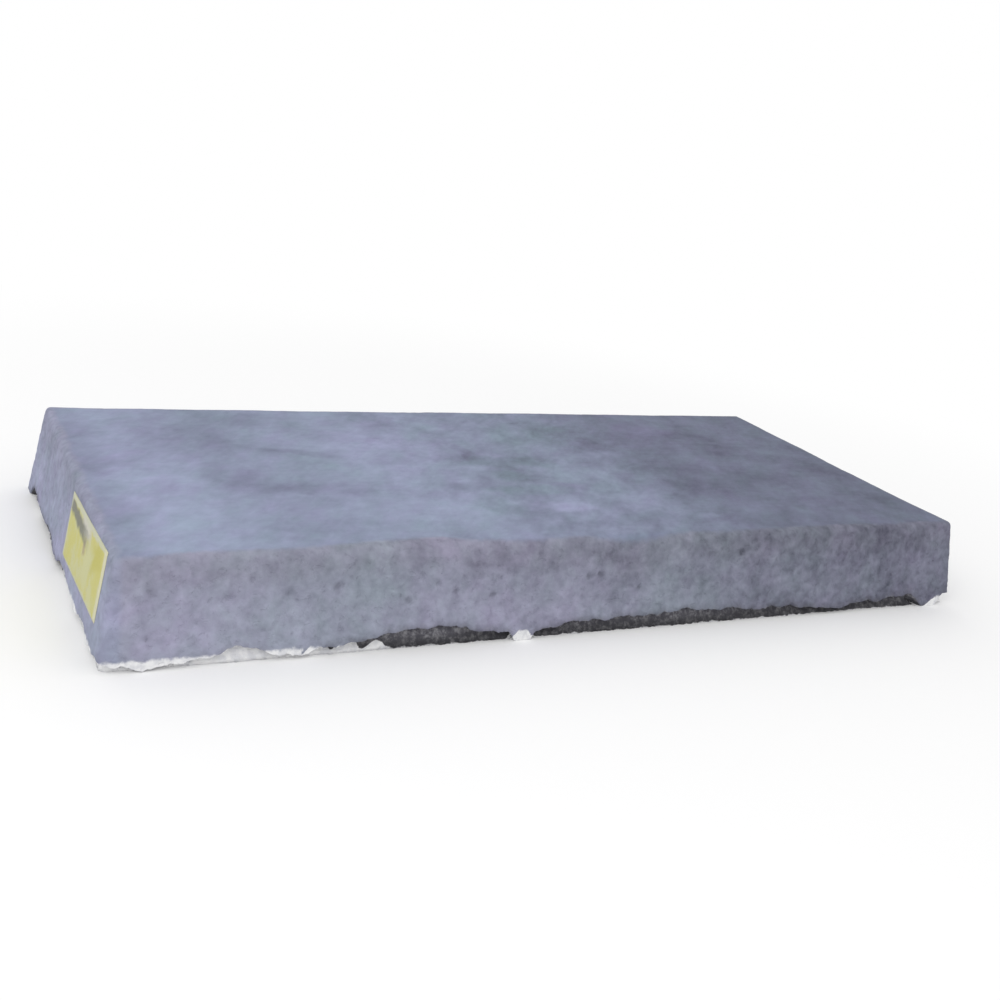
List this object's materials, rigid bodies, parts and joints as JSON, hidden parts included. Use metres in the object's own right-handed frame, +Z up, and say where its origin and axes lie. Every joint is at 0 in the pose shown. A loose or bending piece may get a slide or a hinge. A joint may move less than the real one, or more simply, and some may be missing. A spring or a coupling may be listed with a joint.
{
  "type": "condenser pad",
  "caption": "Cast concrete equipment pad: a low slab with sides that lean in, a trowelled flat top with soft edges, a ragged lower rim over a set-back foot, and a bare sticker on one end.",
  "frame": {"origin": "centre of the base, on the ground", "axes": "+X along the length, away from the labelled end; +Y towards the long side that is farther from the label; +Z up"},
  "size_m": [0.9424, 0.4344, 0.095],
  "materials": {
    "concrete": "trowelled top, rough cast sides, blue-grey",
    "label": "yellow printed stock, satin"
  },
  "bodies": {
    "root": {"pad": "concrete", "label": "label"}
  },
  "joints": []
}
